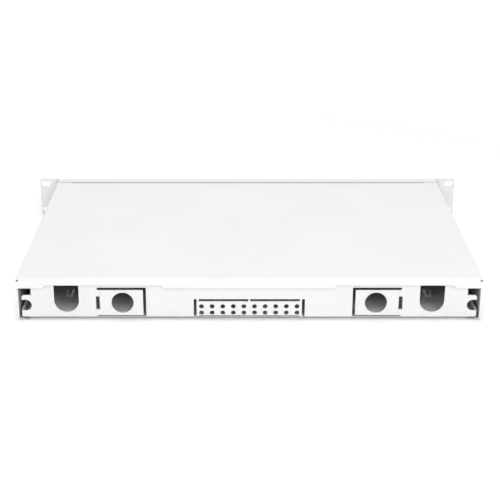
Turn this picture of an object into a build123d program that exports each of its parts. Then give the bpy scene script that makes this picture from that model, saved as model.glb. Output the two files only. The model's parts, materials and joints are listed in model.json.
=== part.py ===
from build123d import *

# Slide-out fibre termination box for a 19-inch rack, one unit high.
#
# A sheet-steel sleeve is held in the rack by two L-shaped ears. A drawer runs in the sleeve on two
# plastic glides. It carries the adapter panel at the front, the splice trays in the middle and the
# wall with the cable entries at the back. All sizes are in millimetres.
#
# Frame: X to the right as seen from the front, +Y to the back, Z up. The origin is the middle of the
# four rack slots, in the back face of the ears.
import os

# ---- Driving dimensions -------------------------------------------------------------------------
RACK_WIDTH = 482.6           # across the ears
UNIT_HEIGHT = 44.0           # of the ears
SLEEVE_WIDTH = 439.0
SLEEVE_HEIGHT = 43.4
SLEEVE_FRONT = 11.0          # front edge of the sleeve, behind the rack plane
SLEEVE_REAR = 290.0          # back face of the sleeve's rear lip
SHEET = 1.2                  # steel of the sleeve and the tray
EAR_PLATE = 2.0              # steel of the ears
PANEL = 1.5                  # steel of the front panel
BEND = 1.6                   # outside radius of the long folds
SHORT_BEND = 1.1             # and of those that end at a relief
TRAY_WIDTH = 431.0
TRAY_UNDERSIDE = 2.9         # above the underside of the sleeve
TRAVEL = 210.0               # of the drawer, up to its stop tabs
PORTS = 12
PORT_PITCH = 27.0
PORT_HEIGHT = 23.0           # middle of the adapters
CLEARANCE = 0.3              # between parts that slide on each other

# ---- Sizes that follow --------------------------------------------------------------------------
BASE = -UNIT_HEIGHT / 2
SLEEVE_HALF = SLEEVE_WIDTH / 2
WALL_INSIDE = SLEEVE_HALF - SHEET
TRAY_HALF = TRAY_WIDTH / 2
FLOOR_TOP = TRAY_UNDERSIDE + SHEET
LIP_FRONT = SLEEVE_REAR - SHEET
TRAY_REAR = LIP_FRONT - 0.4
TRAY_WALL_FRONT = TRAY_REAR - SHEET
PANEL_FRONT = -EAR_PLATE
PANEL_BACK = PANEL_FRONT + PANEL
PORT_XS = [(index - (PORTS - 1) / 2) * PORT_PITCH for index in range(PORTS)]
SIDES = (-1, 1)
SIDE_NAMES = {-1: "left", 1: "right"}

os.makedirs("parts", exist_ok=True)


def up(height):
    """Z of a height that is counted from the underside of the unit."""
    return BASE + height


def middle(span):
    return sum(span) / 2


def length(span):
    return abs(span[1] - span[0])


def around(centre, half):
    """The span that reaches half to both sides of a centre."""
    return (centre - half, centre + half)


def grown(span, extra=1.0):
    """A span made longer at both ends, for a cut that runs right through."""
    return (min(span) - extra, max(span) + extra)


def slab(x_span, y_span, height_span, mode=Mode.ADD):
    """A block between two corners, in the part being built."""
    with Locations((middle(x_span), middle(y_span), up(middle(height_span)))):
        Box(length(x_span), length(y_span), length(height_span), mode=mode)


def upright_rod(x, y, height_span, radius, mode=Mode.ADD):
    """A cylinder along Z, in the part being built."""
    with Locations((x, y, up(middle(height_span)))):
        Cylinder(radius, length(height_span), mode=mode)


def depth_rod(x, y_span, height, radius, mode=Mode.ADD):
    """A cylinder along Y, in the part being built."""
    with Locations(Location((x, middle(y_span), up(height)), (90, 0, 0))):
        Cylinder(radius, length(y_span), mode=mode)


def cross_rod(x_span, y, height, radius, mode=Mode.ADD):
    """A cylinder along X, in the part being built."""
    with Locations(Location((middle(x_span), y, up(height)), (0, 90, 0))):
        Cylinder(radius, length(x_span), mode=mode)


def hex_prism(x, y, height_span, flats, mode=Mode.ADD):
    """An upright hexagonal prism, in the part being built. flats is its width across flats."""
    with BuildSketch(Plane.XY.offset(up(height_span[0]))) as outline:
        with Locations((x, y)):
            RegularPolygon(flats / 2, 6, major_radius=False)
    extrude(outline.sketch, amount=length(height_span), mode=mode)


def window(x_span, height_span):
    """An upright rectangle between two corners, in the sketch being built."""
    with Locations((middle(x_span), up(middle(height_span)))):
        Rectangle(length(x_span), length(height_span))


def save(builder, name):
    """Labels a finished piece and writes its STEP file."""
    builder.part.label = name
    export_step(builder.part, f"parts/{name}.step")


# ---- Outer sleeve -------------------------------------------------------------------------------
BOTTOM_LIP = 10.5            # width of the lips that carry the drawer
REAR_LIP_LOW = 33.3          # lower edge of the rear lip, at its ends and in its middle
REAR_LIP_HIGH = 36.3         # and between them, above the cable entries
LIP_MIDDLE = 80.0            # half length of the low middle
LIP_END = 195.0              # where the low ends begin
LIP_STEP = 3.5               # length of each slanted step
RELIEF_X = 218.0             # corner relief hole where the rear lip, the top and the wall meet
RELIEF_HEIGHT = 41.2
RELIEF_RADIUS = 1.1
RELIEF_DEPTH = 5.0
RECESS_HALF = 203.5          # shallow recess in the top's front edge
RECESS_DEPTH = 2.4
EAR_SCREW_Y = 27.0
EAR_SCREW_HEIGHTS = (11.0, 33.0)
EAR_SCREW_RADIUS = 1.5
LATCH_X = 203.0
LATCH_HEIGHT = 22.0
LATCH_TAB_INNER = 193.0
LATCH_TAB_HEIGHTS = (13.0, 31.0)
LATCH_TAB_HOLE = 3.7
STOP_HEIGHTS = (19.0, 27.0)
STOP_REACH = 6.0             # of each stop tab, inwards from the wall
STOP_REAR = TRAY_WALL_FRONT - TRAVEL - CLEARANCE
STOP_FRONT = STOP_REAR - SHEET
PEG_YS = (40.0, 150.0, 260.0)
PEG_RADIUS = 1.5
GLIDE_X = (SLEEVE_HALF - BOTTOM_LIP + WALL_INSIDE) / 2

with BuildPart() as outer_sleeve:
    # The top, the walls and the bottom lips are one folded section.
    with BuildSketch(Plane.XZ.offset(-LIP_FRONT)):
        with Locations((0, up(SLEEVE_HEIGHT / 2))):
            RectangleRounded(SLEEVE_WIDTH, SLEEVE_HEIGHT, BEND)
            RectangleRounded(2 * WALL_INSIDE, SLEEVE_HEIGHT - 2 * SHEET, BEND - SHEET, mode=Mode.SUBTRACT)
        with Locations((0, up(0))):
            Rectangle(SLEEVE_WIDTH - 2 * BOTTOM_LIP, 3 * SHEET, mode=Mode.SUBTRACT)
    extrude(amount=LIP_FRONT - SLEEVE_FRONT)
    # The rear lip is folded down from the top. Its lower edge steps up over the cable entries.
    with BuildSketch(Plane.XZ.offset(-SLEEVE_REAR)):
        with BuildLine():
            Polyline(
                (0, up(SLEEVE_HEIGHT)),
                (0, up(REAR_LIP_LOW)),
                (LIP_MIDDLE, up(REAR_LIP_LOW)),
                (LIP_MIDDLE + LIP_STEP, up(REAR_LIP_HIGH)),
                (LIP_END - LIP_STEP, up(REAR_LIP_HIGH)),
                (LIP_END, up(REAR_LIP_LOW)),
                (SLEEVE_HALF, up(REAR_LIP_LOW)),
                (SLEEVE_HALF, up(SLEEVE_HEIGHT)),
                close=True,
            )
        make_face()
        mirror(about=Plane.YZ)
    extrude(amount=SHEET)
    rear_fold = outer_sleeve.edges().filter_by(Axis.X).group_by(Axis.Y)[-1].group_by(Axis.Z)[-1]
    fillet(rear_fold, SHORT_BEND)
    # A shallow recess keeps the drawer's flange clear of the top's front edge.
    slab(
        around(0, RECESS_HALF),
        (SLEEVE_FRONT - 1, SLEEVE_FRONT + RECESS_DEPTH),
        around(SLEEVE_HEIGHT, 2 * SHEET),
        mode=Mode.SUBTRACT,
    )
    for side in SIDES:
        through_wall = grown((side * WALL_INSIDE, side * SLEEVE_HALF))
        relief_span = (SLEEVE_REAR - RELIEF_DEPTH, SLEEVE_REAR + 1)
        depth_rod(side * RELIEF_X, relief_span, RELIEF_HEIGHT, RELIEF_RADIUS, mode=Mode.SUBTRACT)
        # Front tab that the latch grips, folded in from the wall.
        slab(
            (side * (WALL_INSIDE + SHEET / 2), side * LATCH_TAB_INNER),
            (SLEEVE_FRONT, SLEEVE_FRONT + SHEET),
            LATCH_TAB_HEIGHTS,
        )
        tab_cut = grown((SLEEVE_FRONT, SLEEVE_FRONT + SHEET))
        depth_rod(side * LATCH_X, tab_cut, LATCH_HEIGHT, LATCH_TAB_HOLE, mode=Mode.SUBTRACT)
        # Stop tab, lanced out of the wall and folded in.
        slab(through_wall, (STOP_FRONT - STOP_REACH, STOP_FRONT), STOP_HEIGHTS, mode=Mode.SUBTRACT)
        tab_span = (side * (SLEEVE_HALF - SHEET / 2), side * (WALL_INSIDE - STOP_REACH))
        slab(tab_span, (STOP_FRONT, STOP_REAR), STOP_HEIGHTS)
        for height in EAR_SCREW_HEIGHTS:
            cross_rod(through_wall, EAR_SCREW_Y, height, EAR_SCREW_RADIUS, mode=Mode.SUBTRACT)
        for y in PEG_YS:
            upright_rod(side * GLIDE_X, y, grown((0, SHEET)), PEG_RADIUS, mode=Mode.SUBTRACT)
save(outer_sleeve, "outer_sleeve")

# ---- Rack ears ----------------------------------------------------------------------------------
SLOT_SPACING = 469.6         # between the middles of the left and the right slots
SLOT_RISE = 31.75            # between the upper and the lower slots
SLOT_LENGTH = 10.8
SLOT_WIDTH = 6.8
EAR_TOP_CORNER = 1.5
EAR_BOTTOM_CORNER = 3.0
EAR_LEG = 40.0               # length of the leg along the sleeve
EAR_LEG_HEIGHTS = (3.0, 41.0)
EAR_HALF = RACK_WIDTH / 2
LEG_OUTSIDE = SLEEVE_HALF + EAR_PLATE
SCREW_HEAD_RADIUS = 2.9
SCREW_HEAD_DEPTH = 1.4


def ear_screw_head(side, height, mode=Mode.ADD):
    """The countersink of one ear screw, whose wide end is flush with the outside of the leg."""
    tip = Location((side * (LEG_OUTSIDE - SCREW_HEAD_DEPTH / 2), EAR_SCREW_Y, up(height)), (0, side * 90, 0))
    with Locations(tip):
        Cone(EAR_SCREW_RADIUS, SCREW_HEAD_RADIUS, SCREW_HEAD_DEPTH, mode=mode)


for side in SIDES:
    outwards = Axis((0, 0, 0), (side, 0, 0))
    with BuildPart() as rack_ear:
        # Slotted face in the rack plane.
        slab((side * SLEEVE_HALF, side * EAR_HALF), (-EAR_PLATE, 0), (0, UNIT_HEIGHT))
        low_corner = rack_ear.edges().filter_by(Axis.Y).group_by(Axis.Z)[0].sort_by(outwards)[-1]
        fillet(low_corner, EAR_BOTTOM_CORNER)
        high_corner = rack_ear.edges().filter_by(Axis.Y).group_by(Axis.Z)[-1].sort_by(outwards)[-1]
        fillet(high_corner, EAR_TOP_CORNER)
        with BuildSketch(Plane.XZ):
            with Locations((side * SLOT_SPACING / 2, 0)):
                with GridLocations(1, SLOT_RISE, 1, 2):
                    SlotOverall(SLOT_LENGTH, SLOT_WIDTH)
        extrude(amount=EAR_PLATE, mode=Mode.SUBTRACT)
        # Leg along the outside of the sleeve.
        slab((side * SLEEVE_HALF, side * LEG_OUTSIDE), (0, EAR_LEG), EAR_LEG_HEIGHTS)
        fillet(rack_ear.edges().filter_by(Axis.Z).group_by(Axis.Y)[0].sort_by(outwards)[0], BEND)
        leg_end = rack_ear.edges().filter_by(Axis.X).group_by(Axis.Y)[-1]
        fillet(leg_end, EAR_BOTTOM_CORNER)
        leg_span = (side * SLEEVE_HALF, side * LEG_OUTSIDE)
        for height in EAR_SCREW_HEIGHTS:
            cross_rod(leg_span, EAR_SCREW_Y, height, EAR_SCREW_RADIUS, mode=Mode.SUBTRACT)
            ear_screw_head(side, height, mode=Mode.SUBTRACT)
    save(rack_ear, f"rack_ear_{SIDE_NAMES[side]}")

# ---- Ear screws and their clinch nuts -----------------------------------------------------------
NUT_THICKNESS = 1.5
EAR_NUT_RADIUS = 3.2
DRIVE_RADIUS = 0.9           # recess for the driver, in the screw's head
DRIVE_DEPTH = 1.0

with BuildPart() as ear_screws:
    for side in SIDES:
        for height in EAR_SCREW_HEIGHTS:
            shank = (side * (WALL_INSIDE - NUT_THICKNESS), side * (LEG_OUTSIDE - SCREW_HEAD_DEPTH))
            drive = (side * (LEG_OUTSIDE - DRIVE_DEPTH), side * LEG_OUTSIDE)
            cross_rod(shank, EAR_SCREW_Y, height, EAR_SCREW_RADIUS)
            ear_screw_head(side, height)
            cross_rod(drive, EAR_SCREW_Y, height, DRIVE_RADIUS, mode=Mode.SUBTRACT)
save(ear_screws, "ear_screws")

with BuildPart() as ear_nuts:
    for side in SIDES:
        for height in EAR_SCREW_HEIGHTS:
            nut_span = (side * WALL_INSIDE, side * (WALL_INSIDE - NUT_THICKNESS))
            cross_rod(nut_span, EAR_SCREW_Y, height, EAR_NUT_RADIUS)
            cross_rod(nut_span, EAR_SCREW_Y, height, EAR_SCREW_RADIUS, mode=Mode.SUBTRACT)
save(ear_nuts, "ear_nuts")

# ---- Glides -------------------------------------------------------------------------------------
GLIDE_WIDTH = 7.0
GLIDE_TOP = TRAY_UNDERSIDE - 0.2
GLIDE_SPAN = (16.0, 284.0)
PEG_BOTTOM = 0.1

for side in SIDES:
    with BuildPart() as glide:
        slab(around(side * GLIDE_X, GLIDE_WIDTH / 2), GLIDE_SPAN, (SHEET, GLIDE_TOP))
        fillet(glide.edges().filter_by(Axis.Z), GLIDE_WIDTH / 3)
        for y in PEG_YS:
            upright_rod(side * GLIDE_X, y, (PEG_BOTTOM, SHEET), PEG_RADIUS)
    save(glide, f"glide_{SIDE_NAMES[side]}")

# ---- Drawer tray --------------------------------------------------------------------------------
SIDE_LIP_TOP = 10.5
SIDE_LIP_SPAN = (12.0, TRAY_WALL_FRONT - 0.6)
WALL_TOP = 40.5
WALL_EDGE = 206.2            # upright end of the rear wall
TONGUE_HEIGHTS = (20.9, 25.6)
TONGUE_END = 215.0           # the tongues meet the stop tabs
CORNER_NOTCH_BOTTOM = 9.8    # half-round notch under each tongue
CORNER_NOTCH_INNER = 206.0
CORNER_NOTCH_OUTER = 211.0
CORNER_CUT = 1.5
NOTCH_X = 172.8              # open-topped cable notches
NOTCH_RADIUS = 11.7
NOTCH_CENTRE = 20.0
NOTCH_MOUTH = 36.0           # where a notch flares out
NOTCH_FLARE = 5.0
FLAP_FREE = (97.6, 100.4)    # slots round the bendable flap of each round cable entry: along its free end,
FLAP_NECK = (141.4, 145.0)   # between its two necks,
FLAP_NECK_HEIGHTS = (11.0, 24.3)
FLAP_TOP = (30.8, 33.4)      # above it
FLAP_BOTTOM = (3.7, 4.8)     # and below it
FLAP_SLOT_END = 143.7
TIE_FLAP_SIDE = (49.9, 52.6) # perforated flap for cable ties, in the middle
TIE_FLAP_TOP = (19.2, 21.5)
TIE_FLAP_BOTTOM = (3.7, 4.6)
TIE_SLOT = (0.9, 47.9)
TIE_HOLE_RADIUS = 2.25
TIE_HOLE_PITCH = 10.05
TIE_HOLE_COLUMNS = 10
TIE_HOLE_ROWS = (7.4, 14.0)
BRIDGE_X = 177.0             # lanced tie bridges in the floor
BRIDGE_SPAN = (225.0, 246.0)
BRIDGE_WIDTH = 3.0
BRIDGE_SLOT = 2.2
BRIDGE_RISE = 2.2
BRIDGE_SLOPE = 3.0           # length of each slanted end
RIVET_XS = (-180.0, -108.0, -36.0, 36.0, 108.0, 180.0)
RIVET_Y = 9.0
RIVET_RADIUS = 1.6
STUD_XS = (-80.0, 80.0)
STUD_YS = (88.0, 158.0)
STUD_RADIUS = 1.5
SPOOL_X = 148.0
SPOOL_Y = 123.0
SPOOL_PEG_RISE = 24.0        # of each peg from the middle of its spool, along Y
SPOOL_PEG_RADIUS = 2.0

with BuildPart() as tray:
    # Floor, and the low lips along its sides.
    slab(around(0, TRAY_HALF), (0, TRAY_WALL_FRONT), (TRAY_UNDERSIDE, FLOOR_TOP))
    for side in SIDES:
        slab((side * TRAY_HALF, side * (TRAY_HALF - SHEET)), SIDE_LIP_SPAN, (TRAY_UNDERSIDE, SIDE_LIP_TOP))
    fillet(tray.edges().filter_by(Axis.Y).group_by(Axis.Z)[0], BEND)
    # Rear wall. Its ends step in above a half-round notch and carry a stop tongue.
    with BuildSketch(Plane.XZ.offset(-TRAY_REAR)):
        with BuildLine():
            Polyline(
                (0, up(TRAY_UNDERSIDE)),
                (TRAY_HALF - CORNER_CUT, up(TRAY_UNDERSIDE)),
                (TRAY_HALF, up(TRAY_UNDERSIDE + CORNER_CUT)),
                (TRAY_HALF, up(CORNER_NOTCH_BOTTOM)),
                (CORNER_NOTCH_OUTER, up(CORNER_NOTCH_BOTTOM)),
            )
            ThreePointArc(
                (CORNER_NOTCH_OUTER, up(CORNER_NOTCH_BOTTOM)),
                (CORNER_NOTCH_INNER, up((CORNER_NOTCH_BOTTOM + TONGUE_HEIGHTS[0]) / 2)),
                (CORNER_NOTCH_OUTER, up(TONGUE_HEIGHTS[0])),
            )
            Polyline(
                (CORNER_NOTCH_OUTER, up(TONGUE_HEIGHTS[0])),
                (TONGUE_END, up(TONGUE_HEIGHTS[0])),
                (TONGUE_END, up(TONGUE_HEIGHTS[1] - CORNER_CUT)),
                (TONGUE_END - CORNER_CUT, up(TONGUE_HEIGHTS[1])),
                (WALL_EDGE, up(TONGUE_HEIGHTS[1])),
                (WALL_EDGE, up(WALL_TOP)),
                (0, up(WALL_TOP)),
                (0, up(TRAY_UNDERSIDE)),
            )
        make_face()
        mirror(about=Plane.YZ)
    extrude(amount=SHEET)
    fillet(tray.edges().filter_by(Axis.X).group_by(Axis.Y)[-1].group_by(Axis.Z)[0], SHORT_BEND)
    # Cable notches, the frames of the bendable flaps, and the slots and holes of the tie flap.
    with BuildSketch(Plane.XZ.offset(-TRAY_REAR - 1)):
        for side in SIDES:
            with Locations((side * NOTCH_X, up(NOTCH_CENTRE))):
                Circle(NOTCH_RADIUS)
            window(around(side * NOTCH_X, NOTCH_RADIUS), (NOTCH_CENTRE, WALL_TOP + 1))
            with Locations((side * NOTCH_X, up(NOTCH_MOUTH))):
                Trapezoid(2 * (NOTCH_RADIUS + NOTCH_FLARE), NOTCH_FLARE, 135, align=(Align.CENTER, Align.MIN))
            window((side * FLAP_FREE[0], side * FLAP_NECK[0]), (FLAP_BOTTOM[0], FLAP_TOP[1]))
            window((side * FLAP_NECK[0], side * FLAP_NECK[1]), FLAP_NECK_HEIGHTS)
            for slot_heights in (FLAP_TOP, FLAP_BOTTOM):
                window((side * FLAP_NECK[0], side * FLAP_SLOT_END), slot_heights)
            window((side * TIE_FLAP_SIDE[0], side * TIE_FLAP_SIDE[1]), (TIE_FLAP_BOTTOM[0], TIE_FLAP_TOP[1]))
            window((side * TIE_SLOT[0], side * TIE_SLOT[1]), TIE_FLAP_TOP)
        window(around(0, TIE_SLOT[1]), TIE_FLAP_BOTTOM)
        for height in TIE_HOLE_ROWS:
            with Locations((0, up(height))):
                with GridLocations(TIE_HOLE_PITCH, 1, TIE_HOLE_COLUMNS, 1):
                    Circle(TIE_HOLE_RADIUS)
    extrude(amount=SHEET + 2, mode=Mode.SUBTRACT)
    # Tie bridges: a strip of the floor pushed up between two slots.
    floor_cut = grown((TRAY_UNDERSIDE, FLOOR_TOP))
    for side in SIDES:
        strip = around(side * BRIDGE_X, BRIDGE_WIDTH / 2)
        slab(grown(strip, BRIDGE_SLOT), BRIDGE_SPAN, floor_cut, mode=Mode.SUBTRACT)
        raised = grown(BRIDGE_SPAN, -BRIDGE_SLOPE)
        with BuildSketch(Plane.YZ.offset(strip[0])):
            with BuildLine():
                Polyline(
                    (BRIDGE_SPAN[0], up(TRAY_UNDERSIDE)),
                    (raised[0], up(TRAY_UNDERSIDE + BRIDGE_RISE)),
                    (raised[1], up(TRAY_UNDERSIDE + BRIDGE_RISE)),
                    (BRIDGE_SPAN[1], up(TRAY_UNDERSIDE)),
                    (BRIDGE_SPAN[1], up(FLOOR_TOP)),
                    (raised[1], up(FLOOR_TOP + BRIDGE_RISE)),
                    (raised[0], up(FLOOR_TOP + BRIDGE_RISE)),
                    (BRIDGE_SPAN[0], up(FLOOR_TOP)),
                    close=True,
                )
            make_face()
        extrude(amount=BRIDGE_WIDTH)
    # Holes for what stands on the floor.
    for x in RIVET_XS:
        upright_rod(x, RIVET_Y, floor_cut, RIVET_RADIUS, mode=Mode.SUBTRACT)
    for side in SIDES:
        for rise in SIDES:
            peg_y = SPOOL_Y + rise * SPOOL_PEG_RISE
            upright_rod(side * SPOOL_X, peg_y, floor_cut, SPOOL_PEG_RADIUS, mode=Mode.SUBTRACT)
save(tray, "tray")

# ---- Gland flaps --------------------------------------------------------------------------------
# Each flap lies in the plane of the rear wall and meets it at two necks.
GLAND_X = 119.9
GLAND_RADIUS = 10.4
GLAND_HEIGHT = 17.8

for side in SIDES:
    with BuildPart() as gland_flap:
        slab(
            (side * FLAP_FREE[1], side * FLAP_NECK[0]),
            (TRAY_WALL_FRONT, TRAY_REAR),
            (FLAP_BOTTOM[1], FLAP_TOP[0]),
        )
        wall_cut = grown((TRAY_WALL_FRONT, TRAY_REAR))
        depth_rod(side * GLAND_X, wall_cut, GLAND_HEIGHT, GLAND_RADIUS, mode=Mode.SUBTRACT)
    save(gland_flap, f"gland_flap_{SIDE_NAMES[side]}")

# ---- Front panel --------------------------------------------------------------------------------
PANEL_HALF = 218.9
PANEL_TOP = 43.8
PANEL_BOTTOM = TRAY_UNDERSIDE - PANEL
TOP_FLANGE_BACK = SLEEVE_FRONT - CLEARANCE
FOOT_HALF = 205.0
FOOT_BACK = 16.0
ADAPTER_WIDTH = 12.8
ADAPTER_HEIGHT = 9.2
WINDOW_GAP = 0.1             # round an adapter in its window
ADAPTER_SCREW_SPACING = 18.0
ADAPTER_SCREW_RADIUS = 1.0
GROMMET_RADIUS = 3.0
GROMMET_HOLE = GROMMET_RADIUS + 0.05

with BuildPart() as front_panel:
    slab(around(0, PANEL_HALF), (PANEL_FRONT, PANEL_BACK), (PANEL_BOTTOM, PANEL_TOP))
    # Top flange towards the sleeve, and foot under the tray's floor.
    slab(around(0, PANEL_HALF), (PANEL_FRONT, TOP_FLANGE_BACK), (PANEL_TOP - PANEL, PANEL_TOP))
    slab(around(0, FOOT_HALF), (PANEL_FRONT, FOOT_BACK), (PANEL_BOTTOM, TRAY_UNDERSIDE))
    fillet(front_panel.edges().filter_by(Axis.X).group_by(Axis.Y)[0], BEND)
    fillet(front_panel.edges().filter_by(Axis.Z).group_by(Axis.Y)[-1], BEND)
    fillet(front_panel.edges().filter_by(Axis.Z).group_by(Axis.Z)[-1], SHORT_BEND)
    with BuildSketch(Plane.XZ.offset(-PANEL_BACK - 1)):
        for x in PORT_XS:
            with Locations((x, up(PORT_HEIGHT))):
                Rectangle(ADAPTER_WIDTH + 2 * WINDOW_GAP, ADAPTER_HEIGHT + 2 * WINDOW_GAP)
                with GridLocations(ADAPTER_SCREW_SPACING, 1, 2, 1):
                    Circle(ADAPTER_SCREW_RADIUS)
        with Locations((-LATCH_X, up(LATCH_HEIGHT)), (LATCH_X, up(LATCH_HEIGHT))):
            Circle(GROMMET_HOLE)
    extrude(amount=PANEL + 2, mode=Mode.SUBTRACT)
    for x in RIVET_XS:
        upright_rod(x, RIVET_Y, grown((PANEL_BOTTOM, TRAY_UNDERSIDE)), RIVET_RADIUS, mode=Mode.SUBTRACT)
save(front_panel, "front_panel")

RIVET_HEAD = 0.9
RIVET_HEAD_RADIUS = 3.2
RIVET_TAIL = 0.8
RIVET_TAIL_RADIUS = 2.6

with BuildPart() as panel_rivets:
    for x in RIVET_XS:
        upright_rod(x, RIVET_Y, (PANEL_BOTTOM, FLOOR_TOP), RIVET_RADIUS)
        upright_rod(x, RIVET_Y, (FLOOR_TOP, FLOOR_TOP + RIVET_HEAD), RIVET_HEAD_RADIUS)
        upright_rod(x, RIVET_Y, (PANEL_BOTTOM - RIVET_TAIL, PANEL_BOTTOM), RIVET_TAIL_RADIUS)
save(panel_rivets, "panel_rivets")

# ---- Adapters -----------------------------------------------------------------------------------
ADAPTER_FRONT = -13.5
ADAPTER_REAR = 14.5
FLANGE_WIDTH = 22.2
FLANGE = 1.6                 # thickness of the adapter's flange, in front of the panel
SOCKET_PITCH = 6.25          # between the two sockets of an adapter
SOCKET_WIDTH = 4.9
SOCKET_HEIGHT = 6.0
SOCKET_DEPTH = 10.0
KEYWAY_WIDTH = 2.4           # groove above each socket, for the plug's latch
KEYWAY_DEPTH = 1.2
FERRULE_RADIUS = 1.25
ADAPTER_CORNER = 0.5


def adapter_sockets(x, mouth_y, depth):
    """Cuts both sockets of the adapter at x, from the plane at mouth_y over a signed depth."""
    span = sorted((mouth_y, mouth_y + depth))
    for side in SIDES:
        socket_x = x + side * SOCKET_PITCH / 2
        heights = around(PORT_HEIGHT, SOCKET_HEIGHT / 2)
        keyway = (heights[1], heights[1] + KEYWAY_DEPTH)
        slab(around(socket_x, SOCKET_WIDTH / 2), span, heights, mode=Mode.SUBTRACT)
        slab(around(socket_x, KEYWAY_WIDTH / 2), span, keyway, mode=Mode.SUBTRACT)


for number, x in enumerate(PORT_XS, start=1):
    with BuildPart() as adapter:
        body_heights = around(PORT_HEIGHT, ADAPTER_HEIGHT / 2)
        flange_span = (PANEL_FRONT - FLANGE, PANEL_FRONT)
        slab(around(x, ADAPTER_WIDTH / 2), (ADAPTER_FRONT, ADAPTER_REAR), body_heights)
        fillet(adapter.edges().filter_by(Axis.Y), ADAPTER_CORNER)
        slab(around(x, FLANGE_WIDTH / 2), flange_span, body_heights)
        adapter_sockets(x, ADAPTER_FRONT, SOCKET_DEPTH)
        adapter_sockets(x, ADAPTER_REAR, -SOCKET_DEPTH)
        for side in SIDES:
            socket_x = x + side * SOCKET_PITCH / 2
            screw_x = x + side * ADAPTER_SCREW_SPACING / 2
            through = (ADAPTER_FRONT, ADAPTER_REAR)
            depth_rod(socket_x, through, PORT_HEIGHT, FERRULE_RADIUS, mode=Mode.SUBTRACT)
            depth_rod(screw_x, flange_span, PORT_HEIGHT, ADAPTER_SCREW_RADIUS, mode=Mode.SUBTRACT)
    save(adapter, f"adapter_{number:02d}")

SCREW_HEAD = 1.2
SMALL_HEAD_RADIUS = 1.9
SMALL_SLOT = 0.5             # width of the screwdriver slot
ADAPTER_NUT_BACK = PANEL_BACK + 1.6
ADAPTER_NUT_FLATS = 4.0
SCREW_TIP = 0.8              # past the nut

with BuildPart() as adapter_screws:
    for x in PORT_XS:
        for side in SIDES:
            screw_x = x + side * ADAPTER_SCREW_SPACING / 2
            head_back = PANEL_FRONT - FLANGE
            head_front = head_back - SCREW_HEAD
            slot_span = (head_front, head_front + SCREW_HEAD / 2)
            depth_rod(screw_x, (head_back, ADAPTER_NUT_BACK + SCREW_TIP), PORT_HEIGHT, ADAPTER_SCREW_RADIUS)
            depth_rod(screw_x, (head_front, head_back), PORT_HEIGHT, SMALL_HEAD_RADIUS)
            slab(
                around(screw_x, SMALL_HEAD_RADIUS),
                slot_span,
                around(PORT_HEIGHT, SMALL_SLOT / 2),
                mode=Mode.SUBTRACT,
            )
save(adapter_screws, "adapter_screws")

with BuildPart() as adapter_nuts:
    with BuildSketch(Plane.XZ.offset(-ADAPTER_NUT_BACK)):
        for x in PORT_XS:
            with Locations((x, up(PORT_HEIGHT))):
                with GridLocations(ADAPTER_SCREW_SPACING, 1, 2, 1):
                    RegularPolygon(ADAPTER_NUT_FLATS / 2, 6, major_radius=False)
                    Circle(ADAPTER_SCREW_RADIUS, mode=Mode.SUBTRACT)
    extrude(amount=ADAPTER_NUT_BACK - PANEL_BACK)
save(adapter_nuts, "adapter_nuts")

# ---- Dust caps ----------------------------------------------------------------------------------
CAP_PLUG = 7.0               # how far a cap reaches into the sockets
CAP_GRIP = 7.0
CAP_GRIP_WIDTH = 12.0
CAP_GRIP_HEIGHT = 8.0
CAP_GROOVES = 4              # in the top and the underside of the grip
CAP_GROOVE_START = 1.6
CAP_GROOVE_PITCH = 1.4
CAP_GROOVE_WIDTH = 0.6
CAP_GROOVE_DEPTH = 0.5
CAP_GROOVE_HALF = 5.0


def dust_cap(x, face_y, outwards):
    """One cap for both sockets of the adapter at x. outwards is the side of face_y that it stands on."""
    grip_start = face_y + outwards * CLEARANCE
    grip_end = grip_start + outwards * CAP_GRIP
    plug_end = face_y - outwards * CAP_PLUG
    plug_heights = around(PORT_HEIGHT, SOCKET_HEIGHT / 2 - CLEARANCE)
    for side in SIDES:
        socket_x = x + side * SOCKET_PITCH / 2
        slab(around(socket_x, SOCKET_WIDTH / 2 - CLEARANCE), (plug_end, grip_start), plug_heights)
    grip_heights = around(PORT_HEIGHT, CAP_GRIP_HEIGHT / 2)
    slab(around(x, CAP_GRIP_WIDTH / 2), (grip_start, grip_end), grip_heights)
    for number in range(CAP_GROOVES):
        groove = grip_start + outwards * (CAP_GROOVE_START + CAP_GROOVE_PITCH * number)
        groove_span = (groove, groove + outwards * CAP_GROOVE_WIDTH)
        for height in grip_heights:
            slab(
                around(x, CAP_GROOVE_HALF),
                groove_span,
                around(height, CAP_GROOVE_DEPTH),
                mode=Mode.SUBTRACT,
            )


for number, x in enumerate(PORT_XS, start=1):
    with BuildPart() as front_cap:
        dust_cap(x, ADAPTER_FRONT, -1)
    save(front_cap, f"dust_cap_{number:02d}")

with BuildPart() as inner_caps:
    for x in PORT_XS:
        dust_cap(x, ADAPTER_REAR, 1)
save(inner_caps, "inner_dust_caps")

# ---- Latches ------------------------------------------------------------------------------------
GROMMET_FLANGE_RADIUS = 6.5
GROMMET_FLANGE_FRONT = PANEL_FRONT - 1.8
GROMMET_ROUNDING = 0.6
GROMMET_END = SLEEVE_FRONT + SHEET + 3.0
GROMMET_BORE = 1.9
GROMMET_SLOT = 0.8           # between its legs
PLUNGER_RADIUS = 1.5
PLUNGER_END = GROMMET_END - 1.0
KNOB_RADIUS = 5.5
KNOB_LENGTH = 8.0
KNOB_BACK = GROMMET_FLANGE_FRONT - CLEARANCE
KNOB_SPAN = (KNOB_BACK - KNOB_LENGTH, KNOB_BACK)
KNOB_ROUNDING = 1.2
KNOB_COLLAR = 1.5            # smooth stretch at the knob's back
KNOB_FLUTES = 16
KNOB_FLUTE_RADIUS = 0.45

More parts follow.
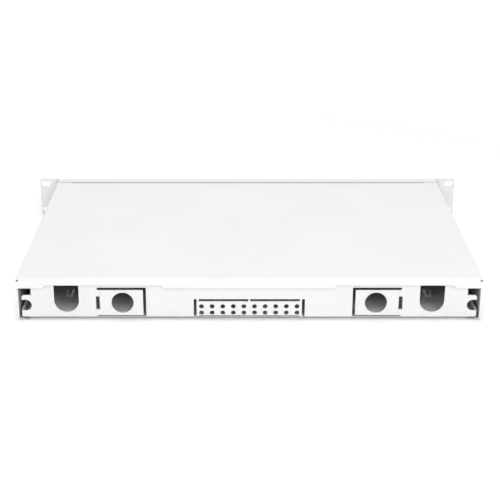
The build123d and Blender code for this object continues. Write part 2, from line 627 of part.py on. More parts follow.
for side in SIDES:
    latch_x = side * LATCH_X
    with BuildPart() as latch_grommet:
        depth_rod(latch_x, (GROMMET_FLANGE_FRONT, PANEL_FRONT), LATCH_HEIGHT, GROMMET_FLANGE_RADIUS)
        fillet(latch_grommet.edges().group_by(Axis.Y)[0], GROMMET_ROUNDING)
        depth_rod(latch_x, (PANEL_FRONT, GROMMET_END), LATCH_HEIGHT, GROMMET_RADIUS)
        bore_span = (GROMMET_FLANGE_FRONT, GROMMET_END)
        depth_rod(latch_x, bore_span, LATCH_HEIGHT, GROMMET_BORE, mode=Mode.SUBTRACT)
        # Four legs that the plunger spreads.
        leg_span = (PANEL_BACK + 2, GROMMET_END)
        for half_x, half_z in ((GROMMET_RADIUS, GROMMET_SLOT / 2), (GROMMET_SLOT / 2, GROMMET_RADIUS)):
            slab(around(latch_x, half_x), leg_span, around(LATCH_HEIGHT, half_z), mode=Mode.SUBTRACT)
    save(latch_grommet, f"latch_grommet_{SIDE_NAMES[side]}")

    with BuildPart() as latch_plunger:
        depth_rod(latch_x, KNOB_SPAN, LATCH_HEIGHT, KNOB_RADIUS)
        fillet(latch_plunger.edges().group_by(Axis.Y)[0], KNOB_ROUNDING)
        with BuildSketch(Plane.XZ.offset(-KNOB_BACK + KNOB_COLLAR)):
            with Locations((latch_x, up(LATCH_HEIGHT))):
                with PolarLocations(KNOB_RADIUS, KNOB_FLUTES):
                    Circle(KNOB_FLUTE_RADIUS)
        extrude(amount=KNOB_LENGTH, mode=Mode.SUBTRACT)
        depth_rod(latch_x, (KNOB_BACK, PLUNGER_END), LATCH_HEIGHT, PLUNGER_RADIUS)
    save(latch_plunger, f"latch_plunger_{SIDE_NAMES[side]}")

# ---- Splice trays -------------------------------------------------------------------------------
SPLICE_X = 152.0
SPLICE_Y = 100.0
SPLICE_MIDDLE_Y = sum(STUD_YS) / 2
SPLICE_CORNER = 18.0
SPLICE_WALL = 1.4
SPLICE_HEIGHT = 9.0
SPLICE_FLOORS = (9.1, 18.5)  # undersides of the lower and the upper tray
SPLICE_LEVELS = ("lower", "upper")
LOBE_RADIUS = 6.0            # of the lobes on the studs
HUB_X = 48.0
HUB_RADIUS = 25.0
HUB_HEIGHT = 6.0
GATE_X = 52.0                # fibre gates through the long walls
GATE_HALF = 6.0
HOLDER_X = 38.0
HOLDER_Y = 46.0
HOLDER_HEIGHT = 4.5
HOLDER_SLOTS = 12
HOLDER_PITCH = 3.4
HOLDER_SLOT_HEIGHT = 3.6     # middle of the slots above the tray's floor
HOLDER_SLOT_RADIUS = 1.35


def splice_outline(inset=0.0, mode=Mode.ADD):
    """The outline of the splice trays and their lid, in the sketch being built."""
    with Locations((0, SPLICE_MIDDLE_Y)):
        RectangleRounded(SPLICE_X - 2 * inset, SPLICE_Y - 2 * inset, SPLICE_CORNER - inset, mode=mode)


for level, floor in zip(SPLICE_LEVELS, SPLICE_FLOORS):
    floor_top = floor + SPLICE_WALL
    with BuildPart() as splice_tray:
        with BuildSketch(Plane.XY.offset(up(floor))):
            splice_outline()
            for x in STUD_XS:
                with Locations((x, STUD_YS[0]), (x, STUD_YS[1])):
                    Circle(LOBE_RADIUS)
        extrude(amount=SPLICE_WALL)
        with BuildSketch(Plane.XY.offset(up(floor_top))):
            splice_outline()
            splice_outline(SPLICE_WALL, mode=Mode.SUBTRACT)
        extrude(amount=SPLICE_HEIGHT - SPLICE_WALL)
        # Hubs that keep the fibre's bend wide.
        with BuildSketch(Plane.XY.offset(up(floor_top))):
            with Locations((-HUB_X, SPLICE_MIDDLE_Y), (HUB_X, SPLICE_MIDDLE_Y)):
                Circle(HUB_RADIUS)
                Circle(HUB_RADIUS - SPLICE_WALL, mode=Mode.SUBTRACT)
        extrude(amount=HUB_HEIGHT - SPLICE_WALL)
        for side in SIDES:
            for end in SIDES:
                wall_y = SPLICE_MIDDLE_Y + end * (SPLICE_Y - SPLICE_WALL) / 2
                gate_heights = (floor_top, floor + SPLICE_HEIGHT + 1)
                slab(
                    around(side * GATE_X, GATE_HALF),
                    around(wall_y, SPLICE_WALL),
                    gate_heights,
                    mode=Mode.SUBTRACT,
                )
        for x in STUD_XS:
            for y in STUD_YS:
                upright_rod(x, y, (floor, floor_top), STUD_RADIUS, mode=Mode.SUBTRACT)
    save(splice_tray, f"splice_tray_{level}")

    with BuildPart() as splice_holder:
        holder_span = around(0, HOLDER_X / 2)
        slab(holder_span, around(SPLICE_MIDDLE_Y, HOLDER_Y / 2), (floor_top, floor_top + HOLDER_HEIGHT))
        for slot in range(HOLDER_SLOTS):
            slot_y = SPLICE_MIDDLE_Y + (slot - (HOLDER_SLOTS - 1) / 2) * HOLDER_PITCH
            slot_height = floor_top + HOLDER_SLOT_HEIGHT
            cross_rod(holder_span, slot_y, slot_height, HOLDER_SLOT_RADIUS, mode=Mode.SUBTRACT)
    save(splice_holder, f"splice_holder_{level}")

LID_BOTTOM = SPLICE_FLOORS[1] + SPLICE_HEIGHT + CLEARANCE
LID = 1.4
LID_GRIP_RADIUS = 6.0        # half-round finger cut-outs in the long edges
LID_LUG_X = 143.2            # lugs that locate the lid inside the tray: their spacing
LID_LUG_Y = 40.0
LID_LUG = (2.0, 8.0, 2.5)    # and their size

with BuildPart() as splice_lid:
    with BuildSketch(Plane.XY.offset(up(LID_BOTTOM))):
        splice_outline()
        for end in SIDES:
            with Locations((0, SPLICE_MIDDLE_Y + end * SPLICE_Y / 2)):
                Circle(LID_GRIP_RADIUS, mode=Mode.SUBTRACT)
    extrude(amount=LID)
    with BuildSketch(Plane.XY.offset(up(LID_BOTTOM))):
        with Locations((0, SPLICE_MIDDLE_Y)):
            with GridLocations(LID_LUG_X, LID_LUG_Y, 2, 2):
                Rectangle(LID_LUG[0], LID_LUG[1])
    extrude(amount=-LID_LUG[2])
save(splice_lid, "splice_lid")

STUD_FLATS = 5.5
STUD_TOP = SPLICE_FLOORS[1] + 7.0
SPACER_RADIUS = 3.0
SPACER_SPAN = (SPLICE_FLOORS[0] + SPLICE_WALL, SPLICE_FLOORS[1])
NUT_BOTTOM = SPLICE_FLOORS[1] + SPLICE_WALL
NUT_SPAN = (NUT_BOTTOM, NUT_BOTTOM + 3.5)
STUD_PLACES = [(x, y) for x in STUD_XS for y in STUD_YS]

with BuildPart() as tray_studs:
    for x, y in STUD_PLACES:
        hex_prism(x, y, (FLOOR_TOP, SPLICE_FLOORS[0]), STUD_FLATS)
        upright_rod(x, y, (SPLICE_FLOORS[0], STUD_TOP), STUD_RADIUS)
save(tray_studs, "tray_studs")

with BuildPart() as tray_spacers:
    for x, y in STUD_PLACES:
        upright_rod(x, y, SPACER_SPAN, SPACER_RADIUS)
        upright_rod(x, y, SPACER_SPAN, STUD_RADIUS, mode=Mode.SUBTRACT)
save(tray_spacers, "tray_spacers")

with BuildPart() as tray_nuts:
    for x, y in STUD_PLACES:
        hex_prism(x, y, NUT_SPAN, STUD_FLATS)
        upright_rod(x, y, NUT_SPAN, STUD_RADIUS, mode=Mode.SUBTRACT)
save(tray_nuts, "tray_nuts")

# ---- Fibre spools -------------------------------------------------------------------------------
SPOOL_RADIUS = 30.0
SPOOL_WALL = 1.6
SPOOL_HEIGHT = 16.0
SPOOL_FOOT_HOLE = 13.5       # radius of the hole in the foot
SPOOL_TABS = 6
SPOOL_TAB_REACH = 6.0
SPOOL_TAB_WIDTH = 9.0
SPOOL_TAB_ROOT = 1.0         # how far a tab runs into the ring

for side in SIDES:
    spool_x = side * SPOOL_X
    foot_top = FLOOR_TOP + SPOOL_WALL
    spool_top = FLOOR_TOP + SPOOL_HEIGHT
    with BuildPart() as fibre_spool:
        upright_rod(spool_x, SPOOL_Y, (FLOOR_TOP, spool_top), SPOOL_RADIUS)
        upright_rod(spool_x, SPOOL_Y, (foot_top, spool_top), SPOOL_RADIUS - SPOOL_WALL, mode=Mode.SUBTRACT)
        upright_rod(spool_x, SPOOL_Y, (FLOOR_TOP, foot_top), SPOOL_FOOT_HOLE, mode=Mode.SUBTRACT)
        # Tabs that keep the coiled fibre on the ring.
        with BuildSketch(Plane.XY.offset(up(spool_top - SPOOL_WALL))):
            tab_middle = SPOOL_RADIUS + (SPOOL_TAB_REACH - SPOOL_TAB_ROOT) / 2
            with Locations((spool_x, SPOOL_Y)):
                with PolarLocations(tab_middle, SPOOL_TABS, start_angle=30):
                    Rectangle(SPOOL_TAB_REACH + SPOOL_TAB_ROOT, SPOOL_TAB_WIDTH)
        extrude(amount=SPOOL_WALL)
        for rise in SIDES:
            peg_y = SPOOL_Y + rise * SPOOL_PEG_RISE
            upright_rod(spool_x, peg_y, (TRAY_UNDERSIDE, FLOOR_TOP), SPOOL_PEG_RADIUS)
    save(fibre_spool, f"fibre_spool_{SIDE_NAMES[side]}")

# ---- Cable anchors ------------------------------------------------------------------------------
# They hold the cables' strength members behind the round entries.
ANCHOR_X = 146.0
ANCHOR_Y = 262.0
ANCHOR_FLATS = 8.0
ANCHOR_TOP = 13.0
ANCHOR_SCREW = 2.0           # radius
ANCHOR_BORE_BOTTOM = FLOOR_TOP + 2.0
CLAMP = 1.5                  # thickness
CLAMP_X = 7.0                # half sizes of the plate
CLAMP_Y = 5.0
CLAMP_RIM = 1.5              # depth of its turned-down edges
CLAMP_TOP = ANCHOR_TOP + 2.5
CLAMP_SPAN = (CLAMP_TOP - CLAMP, CLAMP_TOP)
ANCHOR_HEAD = 2.4
ANCHOR_HEAD_RADIUS = 3.6
ANCHOR_SLOT = 1.0
ANCHOR_SLOT_DEPTH = 1.2

with BuildPart() as cable_anchors:
    for side in SIDES:
        bore_span = (ANCHOR_BORE_BOTTOM, ANCHOR_TOP)
        hex_prism(side * ANCHOR_X, ANCHOR_Y, (FLOOR_TOP, ANCHOR_TOP), ANCHOR_FLATS)
        upright_rod(side * ANCHOR_X, ANCHOR_Y, bore_span, ANCHOR_SCREW, mode=Mode.SUBTRACT)
save(cable_anchors, "cable_anchors")

with BuildPart() as anchor_clamps:
    for side in SIDES:
        anchor_x = side * ANCHOR_X
        rim_heights = (CLAMP_SPAN[0] - CLAMP_RIM, CLAMP_TOP)
        slab(around(anchor_x, CLAMP_X), around(ANCHOR_Y, CLAMP_Y), CLAMP_SPAN)
        for edge in SIDES:
            rim_span = (anchor_x + edge * CLAMP_X, anchor_x + edge * (CLAMP_X - CLAMP))
            slab(rim_span, around(ANCHOR_Y, CLAMP_Y), rim_heights)
        upright_rod(anchor_x, ANCHOR_Y, CLAMP_SPAN, ANCHOR_SCREW, mode=Mode.SUBTRACT)
save(anchor_clamps, "anchor_clamps")

with BuildPart() as anchor_screws:
    for side in SIDES:
        anchor_x = side * ANCHOR_X
        head_top = CLAMP_TOP + ANCHOR_HEAD
        upright_rod(anchor_x, ANCHOR_Y, (ANCHOR_BORE_BOTTOM, CLAMP_TOP), ANCHOR_SCREW)
        upright_rod(anchor_x, ANCHOR_Y, (CLAMP_TOP, head_top), ANCHOR_HEAD_RADIUS)
        slab(
            around(anchor_x, ANCHOR_HEAD_RADIUS),
            around(ANCHOR_Y, ANCHOR_SLOT / 2),
            (head_top - ANCHOR_SLOT_DEPTH, head_top),
            mode=Mode.SUBTRACT,
        )
save(anchor_screws, "anchor_screws")

# ---- Earth stud ---------------------------------------------------------------------------------
EARTH_X = 0.0
EARTH_Y = 232.0
EARTH_RADIUS = 2.5
EARTH_BASE_FLATS = 10.0
EARTH_BASE_TOP = FLOOR_TOP + 3.0
EARTH_TOP = FLOOR_TOP + 18.0
EARTH_WASHER_RADIUS = 5.5
EARTH_WASHER_TOP = EARTH_BASE_TOP + 1.0
EARTH_NUT_FLATS = 8.0
EARTH_NUT_TOP = EARTH_WASHER_TOP + 4.0

with BuildPart() as earth_stud:
    hex_prism(EARTH_X, EARTH_Y, (FLOOR_TOP, EARTH_BASE_TOP), EARTH_BASE_FLATS)
    upright_rod(EARTH_X, EARTH_Y, (EARTH_BASE_TOP, EARTH_TOP), EARTH_RADIUS)
save(earth_stud, "earth_stud")

with BuildPart() as earth_nut:
    upright_rod(EARTH_X, EARTH_Y, (EARTH_BASE_TOP, EARTH_WASHER_TOP), EARTH_WASHER_RADIUS)
    hex_prism(EARTH_X, EARTH_Y, (EARTH_WASHER_TOP, EARTH_NUT_TOP), EARTH_NUT_FLATS)
    upright_rod(EARTH_X, EARTH_Y, (EARTH_BASE_TOP, EARTH_NUT_TOP), EARTH_RADIUS, mode=Mode.SUBTRACT)
save(earth_nut, "earth_nut")

# ---- Fibre clips --------------------------------------------------------------------------------
CLIP_PLACES = [(-170.0, 48.0), (-60.0, 52.0), (60.0, 52.0), (170.0, 48.0), (-60.0, 205.0), (60.0, 205.0)]
CLIP_BASE_HALF = 7.0
CLIP_BASE_TOP = FLOOR_TOP + 1.5
CLIP_RADIUS = 5.0            # inside the ring
CLIP_RING = 1.5              # thickness of the ring
CLIP_RING_HALF = 4.0         # half its width
CLIP_RING_HEIGHT = CLIP_BASE_TOP + CLIP_RADIUS + 0.5
CLIP_MOUTH_HALF = 1.5        # gap that the fibre is pressed through

with BuildPart() as fibre_clips:
    for x, y in CLIP_PLACES:
        ring_span = around(x, CLIP_RING_HALF)
        mouth_heights = (CLIP_RING_HEIGHT + CLIP_RADIUS / 2, CLIP_RING_HEIGHT + CLIP_RADIUS + 2 * CLIP_RING)
        slab(around(x, CLIP_BASE_HALF), around(y, CLIP_BASE_HALF), (FLOOR_TOP, CLIP_BASE_TOP))
        cross_rod(ring_span, y, CLIP_RING_HEIGHT, CLIP_RADIUS + CLIP_RING)
        cross_rod(ring_span, y, CLIP_RING_HEIGHT, CLIP_RADIUS, mode=Mode.SUBTRACT)
        slab(ring_span, around(y, CLIP_MOUTH_HALF), mouth_heights, mode=Mode.SUBTRACT)
save(fibre_clips, "fibre_clips")
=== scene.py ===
import json
import math

import bpy
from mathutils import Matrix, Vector


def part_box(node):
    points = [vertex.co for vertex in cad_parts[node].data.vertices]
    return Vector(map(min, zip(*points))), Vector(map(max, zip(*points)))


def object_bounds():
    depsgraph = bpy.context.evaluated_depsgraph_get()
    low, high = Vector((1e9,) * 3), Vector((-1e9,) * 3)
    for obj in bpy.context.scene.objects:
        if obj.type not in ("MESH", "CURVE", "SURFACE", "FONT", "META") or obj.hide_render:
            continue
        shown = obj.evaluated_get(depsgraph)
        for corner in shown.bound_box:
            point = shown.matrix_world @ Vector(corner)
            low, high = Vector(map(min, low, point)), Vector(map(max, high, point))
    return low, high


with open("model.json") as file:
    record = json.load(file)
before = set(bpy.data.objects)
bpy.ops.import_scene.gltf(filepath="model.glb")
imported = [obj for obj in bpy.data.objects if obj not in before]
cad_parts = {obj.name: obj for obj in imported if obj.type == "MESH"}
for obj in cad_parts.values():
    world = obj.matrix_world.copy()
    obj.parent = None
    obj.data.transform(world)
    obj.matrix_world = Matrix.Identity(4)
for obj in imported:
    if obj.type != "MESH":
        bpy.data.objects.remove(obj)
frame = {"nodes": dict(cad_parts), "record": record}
CAD_LOW, CAD_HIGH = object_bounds()

# ---- Driving values -----------------------------------------------------------------------------
# Lengths are in metres, angles in degrees and light powers in watts. What is bright or dark is a share.
MM = 0.001
REAR_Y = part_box("outer_sleeve")[1].y
FLOOR_Z = CAD_LOW.z
WHITE = (1, 1, 1, 1)

CAMERA_DISTANCE = 1.0166          # behind the rear lip
CAMERA_SIDE = 0.010               # towards +X from the middle
CAMERA_HEIGHT = 0.484             # above the floor
CAMERA_PITCH = 21.64              # below the horizontal
CAMERA_LENS = 85.1                # in millimetres, as the sensor is
SENSOR_WIDTH = 36.0
CAMERA_SHIFT = (0.0226, -0.0168)
CAMERA_RANGE = (0.05, 50.0)       # the nearest and the farthest that it sees

STUDIO_WHITE = 0.40
HORIZON_WHITE = 0.85              # at the horizon and below it
HORIZON_BAND = 0.22               # how far up the surround is whiter, as the sine of the elevation
MIDDLE = (0, REAR_Y / 2, 0)
REAR_LIGHT_Y = REAR_Y + 1.91
LIGHTS = {                        # place, aim, size, power, and whether reflections show it
    "key_light": ((-0.9, REAR_LIGHT_Y, 1.6), MIDDLE, 1.2, 22.5, True),
    "fill_light": ((0.9, REAR_LIGHT_Y, 1.6), MIDDLE, 1.2, 13.0, True),
    "top_light": ((0.0, 0.15, 2.3), MIDDLE, 1.3, 22.0, True),
    "front_light": ((0.5, -2.0, 0.7), (0, 0, 0), 1.2, 10.0, False),
}

FLOOR_SIZE = 40.0
FLOOR_COLOUR = (0.93, 0.93, 0.93, 1)
FLOOR_ROUGHNESS = 0.9
FLOOR_SHINE = 0.1
TABLE_GLOW = (0.06, 0.80)         # the floor is a lit product table, brighter away from the box
GLOW_REACH = (0.45, 1.1)          # how far from the origin the glow starts to grow, and stops

SPECKLE = (0.55, 0.55, 0.54)      # single grains in the powder
WORN_COAT = (0.70, 0.70, 0.69)    # powder that is thin over an edge
WORN_EDGE = 0.7 * MM
CREVICE_REACH = 3.5 * MM
MOTTLE = 0.965                    # the coat's darker patches, as a share of its colour
CREVICE_SHADE_AND_DUST = 0.34                       # the same for painted shade in a crevice, broken into patches like dust
PEEL_DEPTH = 0.05 * MM
GRAIN_DEPTH = 0.012 * MM
COAT_SHINE = 0.28
SLEEVE_INSIDE_SHADE = (0.34, 0.34, 0.34)    # painted shade on the inside of the sleeve
# how far the painted shade inside the sleeve fades out towards its rear end
INSIDE_SHADE_FADE = 25 * MM
SHEET = 1.2 * MM
CAVITY_WALL = 0.9 * SHEET         # a little less than the sheet, so that its inner faces lie in the cavity
CLOUD = 0.82                      # the duller patches of a plated piece, as a share of its colour
DRAWN_LINE_DEPTH = 0.02 * MM
FLOW_MARK = 0.88                  # the same for the flow marks of a moulded piece
# a painted highlight along the edges of moulded plastic: how wide, and how much lighter
EDGE_HIGHLIGHT_WIDTH = 0.4 * MM
EDGE_HIGHLIGHT_GAIN = 1.15
EDGE_HIGHLIGHT_LIFT = 0.02
SPARK_DEPTH = 0.02 * MM
GLOW_DEPTH = 2 * MM               # how far light goes into a pale plastic
RUBBED_DEPTH = 0.01 * MM
LID_CLEARNESS = 0.92
LID_INDEX = 1.58                  # polycarbonate's refraction

WELD_DISTANCE = 0.005 * MM
EDGE_ANGLE = 42                   # an edge that turns less than this is left as it is
EDGE_SEGMENTS = 2
FINE_EDGE = 0.08 * MM
EDGE_RADII = {                    # by material slot
    "sleeve_coat": 0.22 * MM,
    "ear_coat": 0.22 * MM,
    "drawer_coat": 0.20 * MM,
    "cap_plastic": 0.30 * MM,
    "adapter_plastic": 0.15 * MM,
    "latch_plastic": 0.15 * MM,
    "splice_tray_plastic": 0.15 * MM,
}

scene = bpy.context.scene
scene.view_settings.view_transform = "Standard"


# ---- Node trees ---------------------------------------------------------------------------------
def map_range(tree, value, source, target):
    """Runs over the target pair as the value runs over the source pair, and stays at its ends."""
    node = tree.nodes.new("ShaderNodeMapRange")
    node.inputs["From Min"].default_value, node.inputs["From Max"].default_value = source
    node.inputs["To Min"].default_value, node.inputs["To Max"].default_value = target
    tree.links.new(value, node.inputs["Value"])
    return node.outputs["Result"]


def times(colour, share):
    """A colour made darker, or lighter, by a share of itself."""
    return tuple(channel * share for channel in colour)


class Nodes:
    """Short forms for building one material's node tree. place is the object's own space, in metres."""

    def __init__(self, name):
        self.material = bpy.data.materials.new(name)
        self.material.use_nodes = True
        self.tree = self.material.node_tree
        self.shader = self.tree.nodes["Principled BSDF"]
        self.place = self.add("ShaderNodeTexCoord").outputs["Object"]

    def add(self, kind, **settings):
        node = self.tree.nodes.new(kind)
        for key, value in settings.items():
            setattr(node, key, value)
        return node

    def link(self, start, end):
        self.tree.links.new(start, end)

    def set(self, **values):
        """Fixed values on the shader's own sockets. A name's underscores stand for spaces."""
        for key, value in values.items():
            self.shader.inputs[key.replace("_", " ")].default_value = value

    def drive(self, **sockets):
        """Links from sockets to the shader's own, which are named as in set."""
        for key, socket in sockets.items():
            self.link(socket, self.shader.inputs[key.replace("_", " ")])

    def noise(self, scale, detail=3.0, stretch=None):
        """Noise with scale in features per metre. A stretch under 1 draws them out along its axis."""
        node = self.add("ShaderNodeTexNoise")
        node.inputs["Scale"].default_value = scale
        node.inputs["Detail"].default_value = detail
        place = self.place
        if stretch:
            mapping = self.add("ShaderNodeMapping")
            mapping.inputs["Scale"].default_value = stretch
            self.link(place, mapping.inputs["Vector"])
            place = mapping.outputs["Vector"]
        self.link(place, node.inputs["Vector"])
        return node.outputs["Fac"]

    def ramp(self, factor, low, high, start=0.3, end=0.7):
        """Runs from low to high as factor goes from start to end."""
        return map_range(self.tree, factor, (start, end), (low, high))

    def mix(self, factor, first, second):
        """Mixes two colours, each a tuple or a socket, by a factor that is a socket.

        A colour mix takes its factor and its colours at inputs 0, 6 and 7, and gives output 2.
        """
        node = self.add("ShaderNodeMix", data_type="RGBA")
        self.link(factor, node.inputs[0])
        for value, socket in ((first, node.inputs[6]), (second, node.inputs[7])):
            if isinstance(value, tuple):
                socket.default_value = (*value, 1)
            else:
                self.link(value, socket)
        return node.outputs[2]

    def bump(self, height, depth, strength, below=None):
        """Bump of a depth in metres, on top of another bump."""
        node = self.add("ShaderNodeBump")
        node.inputs["Strength"].default_value = strength
        node.inputs["Distance"].default_value = depth
        self.link(height, node.inputs["Height"])
        if below:
            self.link(below, node.inputs["Normal"])
        return node.outputs["Normal"]

    def product(self, first, second):
        node = self.add("ShaderNodeMath", operation="MULTIPLY")
        self.link(first, node.inputs[0])
        self.link(second, node.inputs[1])
        return node.outputs[0]

    def inside(self, low, high, fade):
        """1 for what lies between two corners, and 0 beside it. It fades out towards the high end in y.

        The low end in y isn't tested.
        """
        parts = self.add("ShaderNodeSeparateXYZ")
        self.link(self.place, parts.inputs[0])
        within = self.ramp(parts.outputs["Y"], 1.0, 0.0, start=high.y - fade, end=high.y)
        for axis in (0, 2):
            for corner, kind in ((low, "GREATER_THAN"), (high, "LESS_THAN")):
                test = self.add("ShaderNodeMath", operation=kind)
                self.link(parts.outputs[axis], test.inputs[0])
                test.inputs[1].default_value = corner[axis]
                within = self.product(within, test.outputs[0])
        return within

    def crevice_shade_mask(self, reach):
        """1 in tight corners and seams, and 0 on open stretches: an ambient-occlusion mask for painted
        shade.
        """
        shade = self.add("ShaderNodeAmbientOcclusion", samples=8)
        shade.inputs["Distance"].default_value = reach
        return self.ramp(shade.outputs["AO"], 1.0, 0.0, start=0.30, end=0.98)

    def edges(self, radius):
        """1 on sharp edges and 0 on flat stretches."""
        bevel = self.add("ShaderNodeBevel", samples=6)
        bevel.inputs["Radius"].default_value = radius
        geometry = self.add("ShaderNodeNewGeometry")
        dot = self.add("ShaderNodeVectorMath", operation="DOT_PRODUCT")
        self.link(bevel.outputs["Normal"], dot.inputs[0])
        self.link(geometry.outputs["Normal"], dot.inputs[1])
        return self.ramp(dot.outputs["Value"], 1.0, 0.0, start=0.75, end=0.98)


# ---- Camera, floor and light --------------------------------------------------------------------
def make_camera():
    """The camera stands behind the box and looks towards its front, a little down."""
    data = bpy.data.cameras.new("camera")
    data.lens = CAMERA_LENS
    data.sensor_width = SENSOR_WIDTH
    data.shift_x, data.shift_y = CAMERA_SHIFT
    data.clip_start, data.clip_end = CAMERA_RANGE
    camera = bpy.data.objects.new("camera", data)
    scene.collection.objects.link(camera)
    camera.location = (CAMERA_SIDE, REAR_Y + CAMERA_DISTANCE, FLOOR_Z + CAMERA_HEIGHT)
    camera.rotation_euler = (math.radians(90 - CAMERA_PITCH), 0, math.pi)
    scene.camera = camera


def floor_material():
    """Matt white that glows more with the distance from the box."""
    nodes = Nodes("studio_floor")
    nodes.set(Base_Color=FLOOR_COLOUR, Roughness=FLOOR_ROUGHNESS, Specular_IOR_Level=FLOOR_SHINE)
    nodes.set(Emission_Color=WHITE)
    distance = nodes.add("ShaderNodeVectorMath", operation="LENGTH")
    nodes.link(nodes.place, distance.inputs[0])
    nodes.drive(Emission_Strength=map_range(nodes.tree, distance.outputs["Value"], GLOW_REACH, TABLE_GLOW))
    return nodes.material


def make_floor():
    """A plain pale floor, far larger than the view."""
    half = FLOOR_SIZE / 2
    corners = [(x * half, y * half, FLOOR_Z) for x, y in ((-1, -1), (1, -1), (1, 1), (-1, 1))]
    mesh = bpy.data.meshes.new("studio_floor")
    mesh.from_pydata(corners, [], [(0, 1, 2, 3)])
    mesh.materials.append(floor_material())
    floor = bpy.data.objects.new("studio_floor", mesh)
    scene.collection.objects.link(floor)


def make_surround():
    """A white world that is whiter low down."""
    world = bpy.data.worlds.new("studio")
    world.use_nodes = True
    tree = world.node_tree
    background = tree.nodes["Background"]
    background.inputs["Color"].default_value = WHITE
    direction = tree.nodes.new("ShaderNodeTexCoord")
    parts = tree.nodes.new("ShaderNodeSeparateXYZ")
    tree.links.new(direction.outputs["Generated"], parts.inputs[0])
    strength = map_range(tree, parts.outputs["Z"], (0.0, HORIZON_BAND), (HORIZON_WHITE, STUDIO_WHITE))
    tree.links.new(strength, background.inputs["Strength"])
    scene.world = world


def area_light(name, place, aim, size, power, shows):
    """A soft square light at a place, turned to a point."""
    data = bpy.data.lights.new(name, "AREA")
    data.size = size
    data.energy = power
    light = bpy.data.objects.new(name, data)
    scene.collection.objects.link(light)
    light.location = place
    light.rotation_euler = (Vector(aim) - Vector(place)).to_track_quat("-Z", "Y").to_euler()
    light.visible_glossy = shows


make_camera()
make_floor()
make_surround()
for light_name, light_values in LIGHTS.items():
    area_light(light_name, *light_values)


# ---- Materials ----------------------------------------------------------------------------------
def powder_coat(name, colour, shaded_box=None):
    """Powder-coated steel: a fine orange peel, faint mottling, a thinner, duller coat on its edges, and
    painted shade in crevices and seams.

    The box given as the last argument, as the inside of a sleeve, gets painted shade: what lies in it is
    darker, less so towards its open rear end.
    """
    nodes = Nodes(name)
    mottle = nodes.ramp(nodes.noise(14.0, detail=4.0), 0.0, 1.0)
    base = nodes.mix(mottle, times(colour, MOTTLE), colour)
    grains = nodes.ramp(nodes.noise(1400.0, detail=2.0), 0.0, 0.06, start=0.5, end=0.8)
    base = nodes.mix(grains, base, SPECKLE)
    wear = nodes.ramp(nodes.noise(260.0, detail=5.0), 0.0, 0.35, start=0.35, end=0.75)
    base = nodes.mix(nodes.product(nodes.edges(WORN_EDGE), wear), base, WORN_COAT)
    # Painted shade inside the sleeve, fading out towards its open rear end.
    if shaded_box:
        base = nodes.mix(nodes.inside(*shaded_box, INSIDE_SHADE_FADE), base, SLEEVE_INSIDE_SHADE)
    # Painted shade in crevices and seams, from ambient occlusion, broken into patches like dust.
    shade_and_dust = nodes.ramp(nodes.noise(120.0, detail=4.0), 0.65, 0.90)
    base = nodes.mix(nodes.product(nodes.crevice_shade_mask(CREVICE_REACH), shade_and_dust), base, times(colour, CREVICE_SHADE_AND_DUST))
    peel = nodes.bump(nodes.noise(780.0, detail=2.0), PEEL_DEPTH, strength=0.55)
    grain = nodes.bump(nodes.noise(4200.0, detail=2.0), GRAIN_DEPTH, strength=0.5, below=peel)
    nodes.drive(Base_Color=base, Roughness=nodes.ramp(nodes.noise(420.0), 0.52, 0.70), Normal=grain)
    nodes.set(Specular_IOR_Level=COAT_SHINE)
    return nodes.material


def plated_steel(name, colour, roughness=0.32):
    """Bright plated metal with fine drawn lines and a cloudy finish."""
    nodes = Nodes(name)
    cloud = nodes.ramp(nodes.noise(180.0, detail=4.0), 0.0, 1.0)
    lines = nodes.noise(900.0, stretch=(1.0, 0.15, 1.0))
    nodes.drive(
        Base_Color=nodes.mix(cloud, times(colour, CLOUD), colour),
        Roughness=nodes.ramp(lines, roughness - 0.08, roughness + 0.14),
        Normal=nodes.bump(lines, DRAWN_LINE_DEPTH, strength=0.4),
    )
    nodes.set(Metallic=1.0)
    return nodes.material


def moulded_plastic(name, colour, roughness=0.45, shine=0.5, glow=0.0):
    """Moulded plastic: a spark-eroded texture, faint flow marks and a painted highlight along the edges,
    where handling polishes them.
    """
    nodes = Nodes(name)
    flow = nodes.ramp(nodes.noise(60.0, stretch=(1.0, 0.3, 1.0)), 0.0, 1.0)
    base = nodes.mix(flow, times(colour, FLOW_MARK), colour)
    # A painted highlight: the edges are lighter in colour.
    edge_highlight = tuple(min(1.0, channel * EDGE_HIGHLIGHT_GAIN + EDGE_HIGHLIGHT_LIFT) for channel in colour)
    nodes.drive(
        Base_Color=nodes.mix(nodes.edges(EDGE_HIGHLIGHT_WIDTH), base, edge_highlight),
        Roughness=nodes.ramp(nodes.noise(1500.0), roughness - 0.06, roughness + 0.1),
        Normal=nodes.bump(nodes.noise(3200.0, detail=2.0), SPARK_DEPTH, strength=0.5),
    )
    nodes.set(Specular_IOR_Level=shine)
    if glow:
        nodes.set(Subsurface_Weight=glow, Subsurface_Scale=GLOW_DEPTH)
    return nodes.material


def clear_plastic(name, colour):
    """Clear sheet with a faint tint and fine rubbed marks."""
    nodes = Nodes(name)
    marks = nodes.noise(350.0, detail=6.0, stretch=(1.0, 0.08, 1.0))
    nodes.drive(
        Roughness=nodes.ramp(marks, 0.03, 0.16, start=0.5, end=0.8),
        Normal=nodes.bump(marks, RUBBED_DEPTH, strength=0.2),
    )
    nodes.set(Base_Color=(*colour, 1), Transmission_Weight=LID_CLEARNESS, IOR=LID_INDEX)
    return nodes.material


def sleeve_cavity():
    """The space between the sleeve's inner faces."""
    low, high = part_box("outer_sleeve")
    wall = Vector((CAVITY_WALL, CAVITY_WALL, CAVITY_WALL))
    return low + wall, high - wall


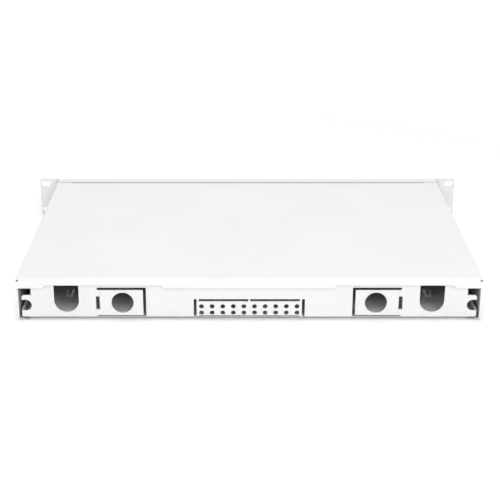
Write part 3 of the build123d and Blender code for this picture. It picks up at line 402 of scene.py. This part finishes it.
FINISHES = {                      # by material slot: how it is made, its colour and what else it has
    # the sleeve's inside gets painted shade
    "sleeve_coat": (powder_coat, (0.86, 0.86, 0.86), {"shaded_box": sleeve_cavity()}),
    # the ears have the same powder coat as the sleeve: their darker colour is painted shade, from the
    # sleeve beside them
    "ear_coat": (powder_coat, (0.81, 0.81, 0.81), {}),
    "drawer_coat": (powder_coat, (0.82, 0.82, 0.82), {}),
    "zinc_steel": (plated_steel, (0.74, 0.75, 0.77), {}),
    "rivet_aluminium": (plated_steel, (0.80, 0.80, 0.81), {"roughness": 0.4}),
    "earth_brass": (plated_steel, (0.80, 0.62, 0.30), {"roughness": 0.3}),
    "glide_nylon": (moulded_plastic, (0.86, 0.85, 0.80), {"glow": 0.15}),
    "adapter_plastic": (moulded_plastic, (0.03, 0.16, 0.50), {"roughness": 0.38}),
    "cap_plastic": (moulded_plastic, (0.82, 0.82, 0.79), {"roughness": 0.42, "glow": 0.2}),
    "latch_plastic": (moulded_plastic, (0.02, 0.02, 0.022), {"roughness": 0.4}),
    "splice_tray_plastic": (moulded_plastic, (0.78, 0.78, 0.75), {"glow": 0.1}),
    "splice_holder_rubber": (moulded_plastic, (0.05, 0.05, 0.055), {"roughness": 0.7, "shine": 0.3}),
    "clear_lid": (clear_plastic, (0.93, 0.96, 0.97), {}),
    "clip_nylon": (moulded_plastic, (0.84, 0.83, 0.78), {"glow": 0.15}),
}
MATERIALS = {slot: make(slot, colour, **rest) for slot, (make, colour, rest) in FINISHES.items()}


def soften_edges(node, radius):
    """Joins the mesh's faces along their shared edges and rounds the sharp ones a little."""
    weld = node.modifiers.new("join_faces", "WELD")
    weld.merge_threshold = WELD_DISTANCE
    bevel = node.modifiers.new("edge_radius", "BEVEL")
    bevel.width = radius
    bevel.segments = EDGE_SEGMENTS
    bevel.limit_method = "ANGLE"
    bevel.angle_limit = math.radians(EDGE_ANGLE)
    bevel.use_clamp_overlap = True
    bevel.harden_normals = True


def dress_cad_nodes():
    """Gives each CAD node the material of its slot, and its edges a small radius."""
    for subpart in frame["record"]["subparts"]:
        node = frame["nodes"][subpart["node"]]
        slot = subpart["material_slot"]
        node.data.materials.clear()
        node.data.materials.append(MATERIALS[slot])
        soften_edges(node, EDGE_RADII.get(slot, FINE_EDGE))


dress_cad_nodes()
